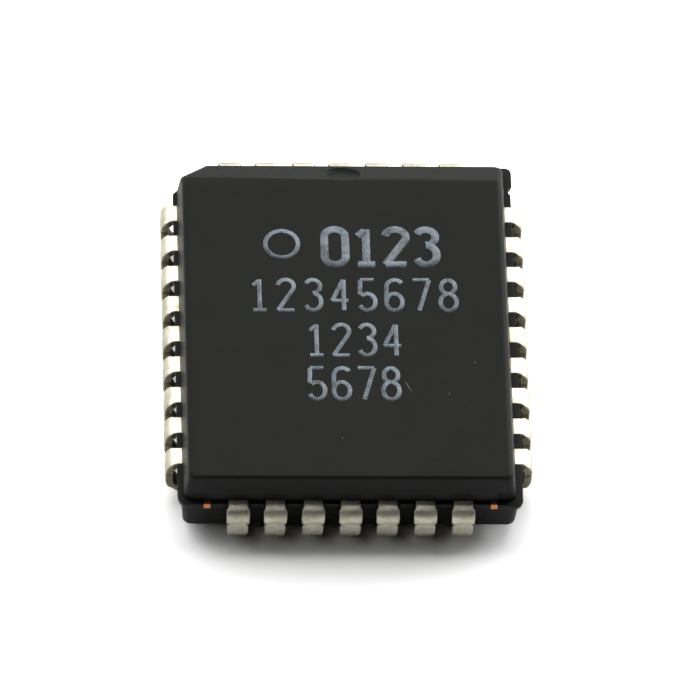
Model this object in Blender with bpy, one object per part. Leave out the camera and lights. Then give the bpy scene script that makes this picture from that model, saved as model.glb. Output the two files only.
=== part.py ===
"""A 32-lead rectangular plastic chip carrier with J leads, holding a one-time programmable memory die.

Metres, +Z up. The origin is the middle of the plane that the feet of the leads stand on.
The far end (+Y) has the sloped edge with the dimple of lead 1, and the far left corner is cut off.
"""

import math
from collections import namedtuple

import bmesh
import bpy
from mathutils import Matrix, Vector

# Lead rows. The body is as long and as wide as its rows and one margin past the last lead.
LEAD_PITCH = 0.00127
SHORT_ROW = 7
LONG_ROW = 9
ROW_END = 0.001905

# Moulded body, as two drafted halves that meet at the top of the lead frame.
STANDOFF = 0.00038
LOWER_HALF = 0.00155
UPPER_HALF = 0.0013
SIDE_DRAFT = math.radians(9.5)
END_DRAFT = math.radians(6)
LOWER_DRAFT = math.radians(4)
UPPER_INSET = 0.00006
LOWER_INSET = 0.00002
TOP_EDGE_RADIUS = 0.00008
BOTTOM_EDGE_RADIUS = 0.00014
CORNER_RADIUS = 0.00026
KEY_CHAMFER = 0.00114
KEY_CHAMFER_BLEND = 0.00016
ARC_STEPS = 4
BLEND_STEPS = 2
EDGE_STEPS = 2
ROUND_SIDES = 18

# Flash as thick as the lead frame, all round the parting line, and its two tabs beside the far leads.
FLASH_OUT_SIDE = 0.00014
FLASH_OUT_END = 0.00009
TAB_START = 0.0005
TAB_LENGTH = 0.0003
TAB_OUT_LEFT = 0.00028
TAB_OUT_RIGHT = 0.0002
TAB_STEP = 0.00003
TAB_NOTCH_RADIUS = 0.00012

# Sloped far edge, the dimple that marks lead 1, and the other recesses of the body.
SLOPE_REACH = 0.0014
SLOPE_ANGLE = math.radians(37)
DIMPLE_RADIUS = 0.00064
DIMPLE_DEPTH = 0.00012
DIMPLE_FROM_TOP = 0.0001
RELIEF_WIDTH = 0.00068
RELIEF_HEIGHT = 0.00042
RELIEF_RISE = 0.00004
RELIEF_DEPTH = 0.00005
EJECTOR_RADIUS = 0.0008
EJECTOR_DEPTH = 0.00006
EJECTOR_SPACING = 0.0052

# Leads, stamped from one strip and formed into a J.
LEAD_THICKNESS = 0.000254
LEAD_REACH = 0.000508
SHOULDER_BEND = 0.0002
FOOT_RADIUS = 0.001
FOOT_FLAT = 0.00016
FOOT_SWEEP = math.radians(60)
FOOT_FACET = math.radians(30)
NECK_WIDTH = 0.00066
NECK_TURN = math.radians(14)
DAM_WIDTH = 0.0008
DAM_BLEND = 0.00012
DAM_DROP = 0.00056
DAM_TAPER = 0.00004
LEG_WIDTH = 0.00066
FOOT_WIDTH = 0.0005
LEAD_TIP_WIDTH = 0.00036
STEP_LENGTH = 0.00006
TIP_CLEARANCE = 0.00012

# Fingers of the lead frame inside the body, with an ear that locks each one in the plastic.
FINGER_TIP_WIDTH = 0.00034
FINGER_WIDTH = 0.0005
FINGER_GAP = 0.00025
FINGER_CORNER = 0.00045
FINGER_KNEE = 0.0012
LOCK_WIDTH = 0.00092
LOCK_LENGTH = 0.0004
LOCK_SETBACK = 0.00025

# Die, its pad with four tie bars, and the gold bond wires.
DIE_WIDTH = 0.0044
DIE_LENGTH = 0.0062
DIE_THICKNESS = 0.0004
ATTACH_THICKNESS = 0.00004
ATTACH_MARGIN = 0.00008
PAD_MARGIN = 0.00035
PAD_DOWNSET = 0.00025
TIE_BAR_WIDTH = 0.00022
TIE_BAR_OFFSET = 0.00105
TIE_BAR_KNEE = 0.0011
BOND_INSET = 0.00014
BOND_CORNER = 0.0005
BALL_RADIUS = 0.00004
BALL_HEIGHT = 0.00003
BALL_SINK = 0.00001
WIRE_RADIUS = 0.000015
WIRE_LOOP = 0.00022
STITCH_INSET = 0.00015
WIRE_STEPS = 3
WIRE_SIDES = 4

# Room between the plastic and what it encloses, and between stacked pieces.
SEAT_GAP = 0.000012

PARTING = STANDOFF + LOWER_HALF
TOP = PARTING + UPPER_HALF
HALF_X = (SHORT_ROW - 1) * LEAD_PITCH / 2 + ROW_END
HALF_Y = (LONG_ROW - 1) * LEAD_PITCH / 2 + ROW_END
PAD_X = DIE_WIDTH / 2 + PAD_MARGIN
PAD_Y = DIE_LENGTH / 2 + PAD_MARGIN
FLASH_BOTTOM = PARTING - LEAD_THICKNESS
FRAME_MIDDLE = PARTING - LEAD_THICKNESS / 2
PAD_TOP = PARTING - PAD_DOWNSET
DIE_BOTTOM = PAD_TOP + ATTACH_THICKNESS + 2 * SEAT_GAP
DIE_TOP = DIE_BOTTOM + DIE_THICKNESS
CUT_PAST = 0.001
UP = Vector((0, 0, 1))

Side = namedtuple("Side", "turn count wall pad_out pad_along")
SIDES = (
    Side(math.radians(90), SHORT_ROW, HALF_Y, PAD_Y, PAD_X),
    Side(math.radians(180), LONG_ROW, HALF_X, PAD_X, PAD_Y),
    Side(math.radians(270), SHORT_ROW, HALF_Y, PAD_Y, PAD_X),
    Side(0.0, LONG_ROW, HALF_X, PAD_X, PAD_Y),
)
Lead = namedtuple("Lead", "number side along tip")
Station = namedtuple("Station", "left right normal")

MATERIALS = {
    "mould_compound": ((0.03, 0.031, 0.028), 0.55, 0.0),
    "plated_lead": ((0.72, 0.7, 0.62), 0.35, 1.0),
    "frame_copper": ((0.8, 0.42, 0.26), 0.4, 1.0),
    "die_attach": ((0.5, 0.5, 0.48), 0.5, 0.6),
    "silicon": ((0.2, 0.22, 0.27), 0.2, 0.5),
}


def clear_scene():
    for old in list(bpy.data.objects):
        bpy.data.objects.remove(old, do_unlink=True)


def material(name):
    """The named Principled material, made on first use."""
    if name in bpy.data.materials:
        return bpy.data.materials[name]
    colour, roughness, metallic = MATERIALS[name]
    made = bpy.data.materials.new(name)
    made.use_nodes = True
    made.diffuse_color = (*colour, 1)
    shader = made.node_tree.nodes["Principled BSDF"]
    shader.inputs["Base Color"].default_value = (*colour, 1)
    shader.inputs["Roughness"].default_value = roughness
    shader.inputs["Metallic"].default_value = metallic
    return made


def add_object(name, bm, material_name=None, smooth_angle=None):
    """Turns the bmesh into an object with its faces pointing out."""
    bmesh.ops.recalc_face_normals(bm, faces=bm.faces)
    mesh = bpy.data.meshes.new(name)
    bm.to_mesh(mesh)
    bm.free()
    if smooth_angle is not None:
        mesh.shade_smooth()
        mesh.set_sharp_from_angle(angle=smooth_angle)
    if material_name:
        mesh.materials.append(material(material_name))
    made = bpy.data.objects.new(name, mesh)
    bpy.context.scene.collection.objects.link(made)
    return made


def add_helper(name, bm):
    """An object that only shapes another one."""
    made = add_object(name, bm)
    made.hide_render = True
    made.display_type = "WIRE"
    return made


def combine(target, operation, helper):
    modifier = target.modifiers.new(helper.name, "BOOLEAN")
    modifier.operation = operation
    modifier.solver = "EXACT"
    modifier.object = helper


def add_loft(bm, rings):
    """Skins a stack of rings that have as many points each, and closes both ends."""
    rows = [[bm.verts.new(point) for point in ring] for ring in rings]
    for lower, upper in zip(rows, rows[1:]):
        for i in range(len(lower)):
            j = (i + 1) % len(lower)
            bm.faces.new((lower[i], lower[j], upper[j], upper[i]))
    bm.faces.new(rows[0][::-1])
    bm.faces.new(rows[-1])


def add_prism(bm, outline, low, high):
    add_loft(bm, [[Vector((x, y, z)) for x, y in outline] for z in (low, high)])


def rectangle(x_low, x_high, y_low, y_high):
    return ((x_low, y_low), (x_high, y_low), (x_high, y_high), (x_low, y_high))


def add_disc(bm, radius, low, high, place, sides=ROUND_SIDES):
    """A short cylinder along the place's own Z."""
    rings = []
    for z in (low, high):
        angles = [2 * math.pi * i / sides for i in range(sides)]
        rings.append([place @ Vector((radius * math.cos(a), radius * math.sin(a), z)) for a in angles])
    add_loft(bm, rings)


def arc(centre_x, centre_y, radius, start, end, steps):
    """Points along a round corner, with its angles in degrees."""
    angles = [math.radians(start + (end - start) * i / steps) for i in range(steps + 1)]
    return [(centre_x + radius * math.cos(a), centre_y + radius * math.sin(a)) for a in angles]


def body_outline(inset_x, inset_y):
    """The plan of the body, brought in by the insets: three round corners and the cut one."""
    x = HALF_X - inset_x
    y = HALF_Y - inset_y
    r = CORNER_RADIUS
    blend = KEY_CHAMFER_BLEND
    tangent = blend * math.tan(math.radians(45) / 2)
    return (
        arc(x - r, r - y, r, -90, 0, ARC_STEPS)
        + arc(x - r, y - r, r, 0, 90, ARC_STEPS)
        + arc(KEY_CHAMFER + tangent - x, y - blend, blend, 90, 135, BLEND_STEPS)
        + arc(blend - x, y - KEY_CHAMFER - tangent, blend, 135, 180, BLEND_STEPS)
        + arc(r - x, r - y, r, 180, 270, ARC_STEPS)
    )


def wall_inset(rise, height, draft, radius):
    """How far a drafted wall has come in at a rise from the parting line, with its last edge rounded."""
    middle = height - radius
    start = middle + radius * math.sin(draft)
    if rise <= start:
        return rise * math.tan(draft)
    across = start * math.tan(draft) + radius * math.cos(draft)
    return across - math.sqrt(max(radius**2 - (rise - middle) ** 2, 0))


def wall_rises(height, draft, radius):
    """Where a wall needs rings: its foot, and the steps of its rounded edge."""
    turns = [draft + (math.pi / 2 - draft) * i / EDGE_STEPS for i in range(EDGE_STEPS + 1)]
    return [0.0] + [height - radius + radius * math.sin(turn) for turn in turns]


def body_rings():
    """Sections of the body from the underside up: lower half, flash, upper half."""
    rings = []
    height = FLASH_BOTTOM - STANDOFF
    for fall in reversed(wall_rises(height, LOWER_DRAFT, BOTTOM_EDGE_RADIUS)):
        inset = LOWER_INSET + wall_inset(fall, height, LOWER_DRAFT, BOTTOM_EDGE_RADIUS)
        rings.append((FLASH_BOTTOM - fall, inset, inset))
    rings.append((FLASH_BOTTOM, -FLASH_OUT_SIDE, -FLASH_OUT_END))
    rings.append((PARTING, -FLASH_OUT_SIDE, -FLASH_OUT_END))
    for rise in wall_rises(UPPER_HALF, END_DRAFT, TOP_EDGE_RADIUS):
        inset_x = UPPER_INSET + wall_inset(rise, UPPER_HALF, SIDE_DRAFT, TOP_EDGE_RADIUS)
        inset_y = UPPER_INSET + wall_inset(rise, UPPER_HALF, END_DRAFT, TOP_EDGE_RADIUS)
        rings.append((PARTING + rise, inset_x, inset_y))
    return [[Vector((x, y, z)) for x, y in body_outline(dx, dy)] for z, dx, dy in rings]


def all_leads():
    """Every lead, anticlockwise from above, with lead 1 in the middle of the far end."""
    leads = []
    for side in SIDES:
        middle = (side.count - 1) / 2
        tip_pitch = 2 * (side.pad_along - FINGER_CORNER) / (side.count - 1)
        for i in range(side.count):
            tip = Vector((side.pad_out + FINGER_GAP, (i - middle) * tip_pitch))
            leads.append(((i - middle) * LEAD_PITCH, side, tip))
    first = SHORT_ROW // 2
    ordered = leads[first:] + leads[:first]
    return [Lead(i + 1, side, along, tip) for i, (along, side, tip) in enumerate(ordered)]


def on_side(side, point):
    """A point given outward and along a side, in the part's own X and Y."""
    return Matrix.Rotation(side.turn, 2) @ Vector(point)


def flat_station(centre, across, width):
    """A level station in the plane of the lead frame."""
    middle = Vector((*centre, FRAME_MIDDLE))
    half = (across * width / 2).to_3d()
    return Station(middle - half, middle + half, UP)


def finger_stations(lead, grow=0.0):
    """The flat finger, from its tip beside the die pad out to the wall, in the lead's own frame."""
    tip = Vector((lead.tip.x, lead.tip.y - lead.along))
    knee = Vector((lead.side.wall - FINGER_KNEE, 0))
    heading = (knee - tip).normalized()
    square = Vector((-heading.y, heading.x))
    ahead = Vector((0, 1))
    mitre = (square + ahead).normalized()
    mitre /= mitre.y
    lock_end = lead.side.wall - LOCK_SETBACK
    lock_start = lock_end - LOCK_LENGTH
    places = (
        (tip - heading * grow, square, FINGER_TIP_WIDTH),
        (knee, mitre, FINGER_WIDTH),
        ((lock_start, 0), ahead, FINGER_WIDTH),
        ((lock_start + STEP_LENGTH, 0), ahead, LOCK_WIDTH),
        ((lock_end - STEP_LENGTH, 0), ahead, LOCK_WIDTH),
        ((lock_end, 0), ahead, NECK_WIDTH),
    )
    return [flat_station(place, across, width + 2 * grow) for place, across, width in places]


def turned_station(centre_out, centre_up, radius, turn, width):
    """A station on a bend, turned down from level about the bend's centre."""
    normal = Vector((math.sin(turn), 0, math.cos(turn)))
    middle = Vector((centre_out, 0, centre_up)) + normal * radius
    half = Vector((0, width / 2, 0))
    return Station(middle - half, middle + half, normal)


def bend_stations(lead):
    """The shoulder bend: the neck first, then the wider stretch where the dam bar was cut away."""
    radius = SHOULDER_BEND + LEAD_THICKNESS / 2
    out = lead.side.wall + LEAD_REACH - LEAD_THICKNESS / 2 - radius
    up = FRAME_MIDDLE - radius
    widened = NECK_TURN + DAM_BLEND / radius
    turns = (
        (0.0, NECK_WIDTH),
        (NECK_TURN, NECK_WIDTH),
        (widened, DAM_WIDTH),
        ((widened + math.pi / 2) / 2, DAM_WIDTH),
    )
    return [turned_station(out, up, radius, turn, width) for turn, width in turns]


def leg_stations(lead):
    """The leg down from the bend, and the foot that curls under the body and up to its tip."""
    radius = FOOT_RADIUS - LEAD_THICKNESS / 2
    out = lead.side.wall + LEAD_REACH - LEAD_THICKNESS / 2 - radius
    upright = math.pi / 2
    widths = (
        (LEAD_THICKNESS + SHOULDER_BEND, DAM_WIDTH),
        (DAM_DROP, DAM_WIDTH - DAM_TAPER),
        (DAM_DROP + STEP_LENGTH, LEG_WIDTH),
    )
    stations = [turned_station(out, PARTING - drop, radius, upright, width) for drop, width in widths]
    steps = round(upright / FOOT_FACET)
    for i in range(steps + 1):
        share = i / steps
        width = LEG_WIDTH + (FOOT_WIDTH - LEG_WIDTH) * share
        stations.append(turned_station(out, FOOT_RADIUS, radius, upright * (1 + share), width))
    steps = max(1, round(FOOT_SWEEP / FOOT_FACET))
    for i in range(steps + 1):
        width = FOOT_WIDTH if i < steps else LEAD_TIP_WIDTH
        turn = math.pi + FOOT_SWEEP * i / steps
        stations.append(turned_station(out - FOOT_FLAT, FOOT_RADIUS, radius, turn, width))
    return stations


def add_strip(bm, stations, thickness):
    """Sweeps a flat strip through its stations and closes both ends."""
    rings = []
    for left, right, normal in stations:
        half = normal * thickness / 2
        rings.append((left - half, right - half, right + half, left + half))
    add_loft(bm, rings)


def build_leads(leads):
    for lead in leads:
        bm = bmesh.new()
        stations = finger_stations(lead) + bend_stations(lead) + leg_stations(lead)
        add_strip(bm, stations, LEAD_THICKNESS)
        made = add_object(f"lead_{lead.number:02d}", bm, "plated_lead", math.radians(35))
        made.location = on_side(lead.side, (0, lead.along)).to_3d()
        made.rotation_euler.z = lead.side.turn


def lead_pockets(leads):
    """Cutter for the plastic round every finger, out through the wall and the flash."""
    bm = bmesh.new()
    for lead in leads:
        start = len(bm.verts)
        outside = (lead.side.wall + CUT_PAST, 0)
        stations = finger_stations(lead, SEAT_GAP)
        stations.append(flat_station(outside, Vector((0, 1)), NECK_WIDTH + 2 * SEAT_GAP))
        add_strip(bm, stations, LEAD_THICKNESS + 2 * SEAT_GAP)
        bm.verts.ensure_lookup_table()
        place = Matrix.Translation(on_side(lead.side, (0, lead.along)).to_3d())
        turn = place @ Matrix.Rotation(lead.side.turn, 4, "Z")
        bmesh.ops.transform(bm, matrix=turn, verts=bm.verts[start:])
    return add_helper("lead_pockets", bm)


def tip_recesses(name, leads):
    """Cutter for the recesses in the underside that the tips of these leads curl into."""
    radius = FOOT_RADIUS - LEAD_THICKNESS
    tip_back = FOOT_RADIUS * math.sin(FOOT_SWEEP)
    ceiling = FOOT_RADIUS - radius * math.cos(FOOT_SWEEP) + TIP_CLEARANCE
    half = FOOT_WIDTH / 2 + TIP_CLEARANCE
    bm = bmesh.new()
    for lead in leads:
        centre = lead.side.wall + LEAD_REACH - FOOT_RADIUS - FOOT_FLAT
        inner = centre - tip_back - TIP_CLEARANCE
        outline = rectangle(inner, lead.side.wall + CUT_PAST, lead.along - half, lead.along + half)
        placed = [on_side(lead.side, corner) for corner in outline]
        add_prism(bm, placed, STANDOFF - CUT_PAST, ceiling)
    return add_helper(name, bm)


def far_wall(x):
    """Y of the body's far wall at the parting line, which the cut corner brings in."""
    return HALF_Y - max(0.0, KEY_CHAMFER - (HALF_X + x))


def add_pad(bm, grow=0.0):
    """The die pad, with a tie bar run out from each cut corner and up to the level of the frame."""
    level = PAD_TOP - LEAD_THICKNESS / 2
    tie_x = (SHORT_ROW - 1) * LEAD_PITCH / 2 + TIE_BAR_OFFSET
    cut = TIE_BAR_WIDTH * math.sqrt(0.5) + grow
    half = TIE_BAR_WIDTH / 2 + grow
    up = UP * (LEAD_THICKNESS / 2 + grow)
    rims = []
    for x, y in ((1, -1), (1, 1), (-1, 1), (-1, -1)):
        wall = far_wall(x * tie_x) if y > 0 else HALF_Y
        knee_y = HALF_Y - TIE_BAR_KNEE
        end_y = wall + FLASH_OUT_END + grow
        pairs = [
            ((PAD_X + grow - cut, PAD_Y + grow, level), (PAD_X + grow, PAD_Y + grow - cut, level)),
            ((tie_x - half, knee_y, FRAME_MIDDLE), (tie_x + half, knee_y, FRAME_MIDDLE)),
            ((tie_x - half, end_y, FRAME_MIDDLE), (tie_x + half, end_y, FRAME_MIDDLE)),
        ]
        rows = []
        for pair in pairs if x * y < 0 else [pair[::-1] for pair in pairs]:
            first, second = [Vector((x * px, y * py, pz)) for px, py, pz in pair]
            corners = (first - up, second - up, second + up, first + up)
            rows.append([bm.verts.new(corner) for corner in corners])
        for low, high in zip(rows, rows[1:]):
            for i in range(4):
                j = (i + 1) % 4
                bm.faces.new((low[i], low[j], high[j], high[i]))
        bm.faces.new(rows[-1])
        rims.append(rows[0])
    bm.faces.new([vert for rim in reversed(rims) for vert in (rim[1], rim[0])])
    bm.faces.new([vert for rim in rims for vert in (rim[3], rim[2])])
    for rim, following in zip(rims, rims[1:] + rims[:1]):
        bm.faces.new((rim[1], following[0], following[3], rim[2]))


def build_pad():
    """Makes the pad, and the cutter for the plastic round it."""
    bm = bmesh.new()
    add_pad(bm)
    add_object("die_pad", bm, "frame_copper")
    grown = bmesh.new()
    add_pad(grown, SEAT_GAP)
    return add_helper("pad_pocket", grown)


def slab(width, length, low, high, grow=0.0):
    """A plain slab over the middle of the pad, in a mesh of its own."""
    x = width / 2 + grow
    y = length / 2 + grow
    bm = bmesh.new()
    add_prism(bm, rectangle(-x, x, -y, y), low - grow, high + grow)
    return bm


def wire_route(lead):
    """Centres along a bond wire, from its ball on the die over to the stitch on the finger."""
    knee = Vector((lead.side.wall - FINGER_KNEE, lead.along))
    heading = (knee - lead.tip).normalized()
    stitch = on_side(lead.side, lead.tip + heading * STITCH_INSET).to_3d()
    stitch.z = PARTING + SEAT_GAP + WIRE_RADIUS
    die_out = lead.side.pad_out - PAD_MARGIN - BOND_INSET
    die_along = lead.side.pad_along - PAD_MARGIN - BOND_CORNER
    reach = lead.side.pad_along - FINGER_CORNER
    ball = on_side(lead.side, (die_out, lead.tip.y * die_along / reach)).to_3d()
    ball.z = DIE_TOP + BALL_HEIGHT
    route = []
    for i in range(WIRE_STEPS + 1):
        share = i / WIRE_STEPS
        point = ball.lerp(stitch, share)
        point.z += WIRE_LOOP * math.sin(math.pi * math.sqrt(share))
        route.append(point)
    return route


def add_wire(bm, lead, grow=0.0):
    """A wire as a tube whose rings stand square to it, up from a flattened ball."""
    route = wire_route(lead)
    along = (route[-1] - route[0]).to_2d().normalized()
    side = Vector((-along.y, along.x, 0))
    foot = route[0] - UP * (BALL_HEIGHT + BALL_SINK)
    route[-1] += along.to_3d() * grow
    rings = [(foot, BALL_RADIUS, UP)]
    for i, point in enumerate(route):
        before = route[max(i - 1, 0)]
        after = route[min(i + 1, len(route) - 1)]
        heading = (after - before).normalized() if i else UP
        rings.append((point, WIRE_RADIUS, heading))
    loft = []
    for centre, radius, heading in rings:
        other = heading.cross(side).normalized()
        ring = []
        for k in range(WIRE_SIDES):
            a = 2 * math.pi * k / WIRE_SIDES
            ring.append(centre + (side * math.cos(a) + other * math.sin(a)) * (radius + grow))
        loft.append(ring)
    add_loft(bm, loft)


def build_die(leads):
    """Makes the adhesive and the die with its wires, and the cutters for the plastic round them."""
    attach_low = PAD_TOP + SEAT_GAP
    margin = 2 * ATTACH_MARGIN
    attach = (DIE_WIDTH + margin, DIE_LENGTH + margin, attach_low, attach_low + ATTACH_THICKNESS)
    die = (DIE_WIDTH, DIE_LENGTH, DIE_BOTTOM, DIE_TOP)
    add_object("die_attach", slab(*attach), "die_attach")
    silicon = add_object("silicon_die", slab(*die), "silicon")
    wires = bmesh.new()
    channels = bmesh.new()
    for lead in leads:
        add_wire(wires, lead)
        add_wire(channels, lead, SEAT_GAP)
    combine(silicon, "UNION", add_helper("bond_wires", wires))
    return (
        add_helper("attach_pocket", slab(*attach, SEAT_GAP)),
        add_helper("die_pocket", slab(*die, SEAT_GAP)),
        add_helper("wire_channels", channels),
    )


def slope_cutter():
    """Everything above the sloped far edge."""
    start = HALF_Y - SLOPE_REACH
    fall = math.tan(SLOPE_ANGLE)
    profile = (
        (start - CUT_PAST, TOP + CUT_PAST * fall),
        (HALF_Y + CUT_PAST, TOP - (SLOPE_REACH + CUT_PAST) * fall),
        (HALF_Y + CUT_PAST, TOP + 2 * CUT_PAST),
        (start - CUT_PAST, TOP + 2 * CUT_PAST),
    )
    reach = HALF_X + CUT_PAST
    bm = bmesh.new()
    add_loft(bm, [[Vector((x, y, z)) for y, z in profile] for x in (-reach, reach)])
    return add_helper("slope_cutter", bm)


def dimple_cutter():
    """A round sink, square to the sloped edge and centred over lead 1."""
    down_slope = DIMPLE_FROM_TOP + DIMPLE_RADIUS
    y = HALF_Y - SLOPE_REACH + down_slope * math.cos(SLOPE_ANGLE)
    z = TOP - down_slope * math.sin(SLOPE_ANGLE)
    place = Matrix.Translation((0, y, z)) @ Matrix.Rotation(-SLOPE_ANGLE, 4, "X")
    bm = bmesh.new()
    add_disc(bm, DIMPLE_RADIUS, -DIMPLE_DEPTH, CUT_PAST, place)
    return add_helper("dimple_cutter", bm)


def relief_cutter():
    """Shallow steps in the near wall, between each corner and its tie bar."""
    tie_x = (SHORT_ROW - 1) * LEAD_PITCH / 2 + TIE_BAR_OFFSET
    inner = tie_x + TIE_BAR_WIDTH / 2
    middle = RELIEF_RISE + RELIEF_HEIGHT / 2
    floor = HALF_Y - UPPER_INSET - middle * math.tan(END_DRAFT) - RELIEF_DEPTH
    low = PARTING + RELIEF_RISE
    bm = bmesh.new()
    for sign in (-1, 1):
        x = sorted((sign * inner, sign * (inner + RELIEF_WIDTH)))
        outline = rectangle(*x, -HALF_Y - CUT_PAST, -floor)
        add_prism(bm, outline, low, low + RELIEF_HEIGHT)
    return add_helper("relief_cutter", bm)


def ejector_cutter():
    bm = bmesh.new()
    for sign in (-1, 1):
        place = Matrix.Translation((0, sign * EJECTOR_SPACING / 2, STANDOFF))
        add_disc(bm, EJECTOR_RADIUS, -CUT_PAST, EJECTOR_DEPTH, place)
    return add_helper("ejector_cutter", bm)


def flash_tabs():
    """What the trimmed dam bar left of the flash, past the last lead at each far corner."""
    last = (LONG_ROW - 1) * LEAD_PITCH / 2
    bm = bmesh.new()
    for sign, out in ((-1, TAB_OUT_LEFT), (1, TAB_OUT_RIGHT)):
        x = sorted((sign * (HALF_X - LEAD_THICKNESS), sign * (HALF_X + out)))
        outline = rectangle(*x, last + TAB_START, last + TAB_START + TAB_LENGTH)
        add_prism(bm, outline, FLASH_BOTTOM + TAB_STEP, PARTING - TAB_STEP)
    return add_helper("flash_tabs", bm)


def tab_notches():
    """Round bites out of the flash beside the tabs."""
    y = (LONG_ROW - 1) * LEAD_PITCH / 2 + TAB_START + TAB_LENGTH + TAB_NOTCH_RADIUS
    bm = bmesh.new()
    for sign in (-1, 1):
        place = Matrix.Translation((sign * (HALF_X + FLASH_OUT_SIDE), y, FRAME_MIDDLE))
        add_disc(bm, TAB_NOTCH_RADIUS, -LEAD_THICKNESS, LEAD_THICKNESS, place, ROUND_SIDES // 2)
    return add_helper("tab_notches", bm)


def build_body(pockets):
    bm = bmesh.new()
    add_loft(bm, body_rings())
    body = add_object("moulded_body", bm, "mould_compound", math.radians(30))
    combine(body, "UNION", flash_tabs())
    outside = (tab_notches(), slope_cutter(), dimple_cutter(), relief_cutter(), ejector_cutter())
    for cutter in (*outside, *pockets):
        combine(body, "DIFFERENCE", cutter)


def main():
    clear_scene()
    leads = all_leads()
    build_leads(leads)
    pad_pocket = build_pad()
    stack_pockets = build_die(leads)
    end_leads = [lead for lead in leads if lead.side.count == SHORT_ROW]
    side_leads = [lead for lead in leads if lead.side.count == LONG_ROW]
    recesses = (tip_recesses("end_recesses", end_leads), tip_recesses("side_recesses", side_leads))
    build_body((*recesses, lead_pockets(leads), pad_pocket, *stack_pockets))


main()
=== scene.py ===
import math

import bmesh
import bpy
from mathutils import Matrix, Vector, noise


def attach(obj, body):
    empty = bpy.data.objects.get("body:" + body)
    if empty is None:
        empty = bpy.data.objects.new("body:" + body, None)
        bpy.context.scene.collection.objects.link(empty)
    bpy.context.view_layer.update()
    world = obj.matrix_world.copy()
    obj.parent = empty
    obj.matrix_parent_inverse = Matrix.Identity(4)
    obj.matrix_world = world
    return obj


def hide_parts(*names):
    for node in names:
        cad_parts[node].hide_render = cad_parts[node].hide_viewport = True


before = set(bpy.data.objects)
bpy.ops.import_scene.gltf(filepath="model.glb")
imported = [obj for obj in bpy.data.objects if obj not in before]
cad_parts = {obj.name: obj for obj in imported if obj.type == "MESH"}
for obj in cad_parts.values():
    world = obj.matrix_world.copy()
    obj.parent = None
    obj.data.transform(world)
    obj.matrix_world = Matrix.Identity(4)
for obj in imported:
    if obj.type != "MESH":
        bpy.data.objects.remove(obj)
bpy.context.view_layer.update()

mm = 0.001


def addNode(tree, kind, **settings):
    node = tree.nodes.new(kind)
    for name, value in settings.items():
        setattr(node, name, value)
    return node


def feed(tree, socket, value):  # a value goes on the socket, another node's socket gets a link
    if isinstance(value, bpy.types.NodeSocket):
        tree.links.new(value, socket)
    elif value is not None:
        socket.default_value = value


def maths(tree, operation, a, b=None, c=None, clamp=False):
    node = addNode(tree, "ShaderNodeMath", operation=operation, use_clamp=clamp)
    for socket, value in zip(node.inputs, (a, b, c)):
        feed(tree, socket, value)
    return node.outputs[0]


def vectorMaths(tree, operation, a, b=None):
    node = addNode(tree, "ShaderNodeVectorMath", operation=operation)
    feed(tree, node.inputs[0], a)
    feed(tree, node.inputs[1], b)
    return node.outputs["Value"] if operation in ("LENGTH", "DISTANCE", "DOT_PRODUCT") else node.outputs[0]


def spread(tree, value, low, high, toLow=0.0, toHigh=1.0):
    node = addNode(tree, "ShaderNodeMapRange", interpolation_type="SMOOTHSTEP")
    ends = (("From Min", low), ("From Max", high), ("To Min", toLow), ("To Max", toHigh))
    for name, part in (("Value", value), *ends):
        feed(tree, node.inputs[name], part)
    return node.outputs["Result"]


def blendColours(tree, share, a, b, how="MIX"):
    node = addNode(tree, "ShaderNodeMix", data_type="RGBA", blend_type=how)
    feed(tree, node.inputs["Factor"], share)
    for socket, value in zip([s for s in node.inputs if s.type == "RGBA"], (a, b)):
        feed(tree, socket, value if isinstance(value, bpy.types.NodeSocket) else (*value, 1))
    return [s for s in node.outputs if s.type == "RGBA"][0]


def grainNoise(tree, where, size, detail=3.0, roughness=0.55):  # size is the grain's width in metres
    node = addNode(tree, "ShaderNodeTexNoise")
    feed(tree, node.inputs["Vector"], where)
    feed(tree, node.inputs["Scale"], 1 / size)
    feed(tree, node.inputs["Detail"], detail)
    feed(tree, node.inputs["Roughness"], roughness)
    return node.outputs["Fac"]


def readAttribute(tree, name):
    return addNode(tree, "ShaderNodeAttribute", attribute_name=name).outputs["Fac"]


def newMaterial(name):
    made = bpy.data.materials.new(name)
    made.use_nodes = True
    return made, made.node_tree, made.node_tree.nodes["Principled BSDF"]


def addBump(tree, shader, height, distance, strength=1.0):
    node = addNode(tree, "ShaderNodeBump")
    feed(tree, node.inputs["Height"], height)
    feed(tree, node.inputs["Distance"], distance)
    feed(tree, node.inputs["Strength"], strength)
    feed(tree, shader.inputs["Normal"], node.outputs[0])


def meshObject(name, bm):
    bmesh.ops.recalc_face_normals(bm, faces=bm.faces)
    mesh = bpy.data.meshes.new(name)
    bm.to_mesh(mesh)
    bm.free()
    made = bpy.data.objects.new(name, mesh)
    bpy.context.scene.collection.objects.link(made)
    return made


def settle(piece):  # modifiers become plain mesh
    graph = bpy.context.evaluated_depsgraph_get()
    done = bpy.data.meshes.new_from_object(piece.evaluated_get(graph))
    piece.modifiers.clear()
    piece.data = done
    done.name = piece.name
    return piece


def softShade(piece, degrees):  # smooth over gentle turns, weighted so that flats stay flat
    piece.data.shade_smooth()
    piece.data.set_sharp_from_angle(angle=math.radians(degrees))
    weigh = piece.modifiers.new("weigh", "WEIGHTED_NORMAL")
    weigh.weight = 100
    weigh.keep_sharp = True
    return settle(piece)


def skin(bm, rings, closeTop=True):  # quads between rings, and the ends closed
    rows = [[bm.verts.new(point) for point in ring] for ring in rings]
    for low, high in zip(rows, rows[1:]):
        for i in range(len(low)):
            j = (i + 1) % len(low)
            bm.faces.new((low[i], low[j], high[j], high[i]))
    bm.faces.new(rows[0][::-1])
    if closeTop:
        bm.faces.new(rows[-1])
    return rows


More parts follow.
